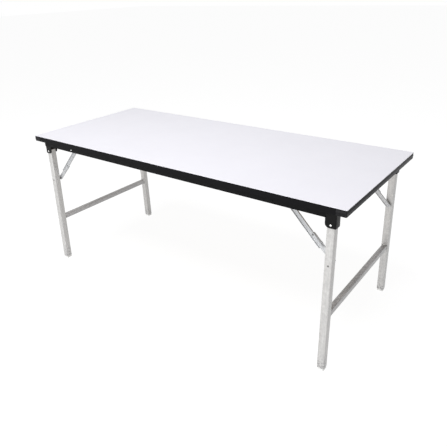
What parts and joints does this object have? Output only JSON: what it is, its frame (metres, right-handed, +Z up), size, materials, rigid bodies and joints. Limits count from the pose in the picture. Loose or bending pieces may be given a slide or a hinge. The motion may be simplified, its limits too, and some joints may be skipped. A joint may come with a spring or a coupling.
{
  "type": "folding table",
  "caption": "Rectangular table with a white laminated top, dark edging and two square-tube leg frames that fold flat under it on locking stays.",
  "frame": {"origin": "on the floor under the middle of the top", "axes": "+X along the length to the right-hand end, +Y to the back edge, +Z up"},
  "size_m": [1.8, 0.75, 0.75],
  "materials": {
    "white_laminate": "smooth satin white laminate",
    "particle_board": "raw pressed board",
    "backing_sheet": "matt brown backing",
    "black_edging": "satin black moulded plastic",
    "black_steel": "satin black paint",
    "galvanised_tube": "bright galvanised, faintly brushed",
    "zinc_steel": "bright zinc plate",
    "rivet_steel": "bright plated",
    "cap_plastic": "light grey plastic"
  },
  "bodies": {
    "tabletop": {"top_laminate": "white_laminate", "top_board": "particle_board", "backing_sheet": "backing_sheet", "edge_strip_front": "black_edging", "edge_strip_back": "black_edging", "end_moulding_left": "black_edging", "end_moulding_right": "black_edging", "rail_front": "black_steel", "rail_back": "black_steel", "cross_member_left": "black_steel", "cross_member_right": "black_steel", "hinge_bracket_front_left": "black_steel", "hinge_bracket_back_left": "black_steel", "hinge_bracket_front_right": "black_steel", "hinge_bracket_back_right": "black_steel", "hinge_pin_front_left": "rivet_steel", "hinge_pin_back_left": "rivet_steel", "hinge_pin_front_right": "rivet_steel", "hinge_pin_back_right": "rivet_steel", "stay_anchor_front_left": "black_steel", "stay_anchor_back_left": "black_steel", "stay_anchor_front_right": "black_steel", "stay_anchor_back_right": "black_steel", "stay_top_rivet_front_left": "rivet_steel", "stay_top_rivet_back_left": "rivet_steel", "stay_top_rivet_front_right": "rivet_steel", "stay_top_rivet_back_right": "rivet_steel", "cross_member_rivet_front_left": "rivet_steel", "cross_member_rivet_back_left": "rivet_steel", "cross_member_rivet_front_right": "rivet_steel", "cross_member_rivet_back_right": "rivet_steel"},
    "leg_frame_left": {"crossbar_left": "galvanised_tube", "leg_tube_front_left": "galvanised_tube", "leg_tube_back_left": "galvanised_tube", "foot_cap_front_left": "cap_plastic", "foot_cap_back_left": "cap_plastic", "stay_foot_pin_front_left": "rivet_steel", "stay_foot_pin_back_left": "rivet_steel"},
    "leg_frame_right": {"crossbar_right": "galvanised_tube", "leg_tube_front_right": "galvanised_tube", "leg_tube_back_right": "galvanised_tube", "foot_cap_front_right": "cap_plastic", "foot_cap_back_right": "cap_plastic", "stay_foot_pin_front_right": "rivet_steel", "stay_foot_pin_back_right": "rivet_steel"},
    "upper_stay_front_left": {"upper_link_front_left": "zinc_steel", "knee_rivet_front_left": "rivet_steel"},
    "lower_stay_front_left": {"lower_link_front_left": "zinc_steel"},
    "upper_stay_back_left": {"upper_link_back_left": "zinc_steel", "knee_rivet_back_left": "rivet_steel"},
    "lower_stay_back_left": {"lower_link_back_left": "zinc_steel"},
    "upper_stay_front_right": {"upper_link_front_right": "zinc_steel", "knee_rivet_front_right": "rivet_steel"},
    "lower_stay_front_right": {"lower_link_front_right": "zinc_steel"},
    "upper_stay_back_right": {"upper_link_back_right": "zinc_steel", "knee_rivet_back_right": "rivet_steel"},
    "lower_stay_back_right": {"lower_link_back_right": "zinc_steel"}
  },
  "joints": [
    {"name": "left_leg_fold", "type": "hinge", "parent": "tabletop", "child": "leg_frame_left", "pos_m": [-0.8325, 0, 0.6655], "axis": [0, -1, 0], "range_deg": [0, 90]},
    {"name": "right_leg_fold", "type": "hinge", "parent": "tabletop", "child": "leg_frame_right", "pos_m": [0.8325, 0, 0.6655], "axis": [0, 1, 0], "range_deg": [0, 90]},
    {"name": "front_left_stay_swing", "type": "hinge", "parent": "tabletop", "child": "upper_stay_front_left", "pos_m": [-0.6265, -0.307, 0.709], "axis": [0, 1, 0], "range_deg": [0, 25.9]},
    {"name": "front_left_knee", "type": "hinge", "parent": "upper_stay_front_left", "child": "lower_stay_front_left", "pos_m": [-0.744, -0.307, 0.58448], "axis": [0, -1, 0], "range_deg": [0, 168.3]},
    {"name": "back_left_stay_swing", "type": "hinge", "parent": "tabletop", "child": "upper_stay_back_left", "pos_m": [-0.6265, 0.307, 0.709], "axis": [0, 1, 0], "range_deg": [0, 25.9]},
    {"name": "back_left_knee", "type": "hinge", "parent": "upper_stay_back_left", "child": "lower_stay_back_left", "pos_m": [-0.744, 0.307, 0.58448], "axis": [0, -1, 0], "range_deg": [0, 168.3]},
    {"name": "front_right_stay_swing", "type": "hinge", "parent": "tabletop", "child": "upper_stay_front_right", "pos_m": [0.6265, -0.307, 0.709], "axis": [0, -1, 0], "range_deg": [0, 25.9]},
    {"name": "front_right_knee", "type": "hinge", "parent": "upper_stay_front_right", "child": "lower_stay_front_right", "pos_m": [0.744, -0.307, 0.58448], "axis": [0, 1, 0], "range_deg": [0, 168.3]},
    {"name": "back_right_stay_swing", "type": "hinge", "parent": "tabletop", "child": "upper_stay_back_right", "pos_m": [0.6265, 0.307, 0.709], "axis": [0, -1, 0], "range_deg": [0, 25.9]},
    {"name": "back_right_knee", "type": "hinge", "parent": "upper_stay_back_right", "child": "lower_stay_back_right", "pos_m": [0.744, 0.307, 0.58448], "axis": [0, 1, 0], "range_deg": [0, 168.3]}
  ],
  "couplings": [
    {"joint": "front_left_stay_swing", "follows": "left_leg_fold", "ratio": 0.28685},
    {"joint": "front_left_knee", "follows": "left_leg_fold", "ratio": 1.8697},
    {"joint": "back_left_stay_swing", "follows": "left_leg_fold", "ratio": 0.28685},
    {"joint": "back_left_knee", "follows": "left_leg_fold", "ratio": 1.8697},
    {"joint": "front_right_stay_swing", "follows": "right_leg_fold", "ratio": 0.28685},
    {"joint": "front_right_knee", "follows": "right_leg_fold", "ratio": 1.8697},
    {"joint": "back_right_stay_swing", "follows": "right_leg_fold", "ratio": 0.28685},
    {"joint": "back_right_knee", "follows": "right_leg_fold", "ratio": 1.8697}
  ]
}
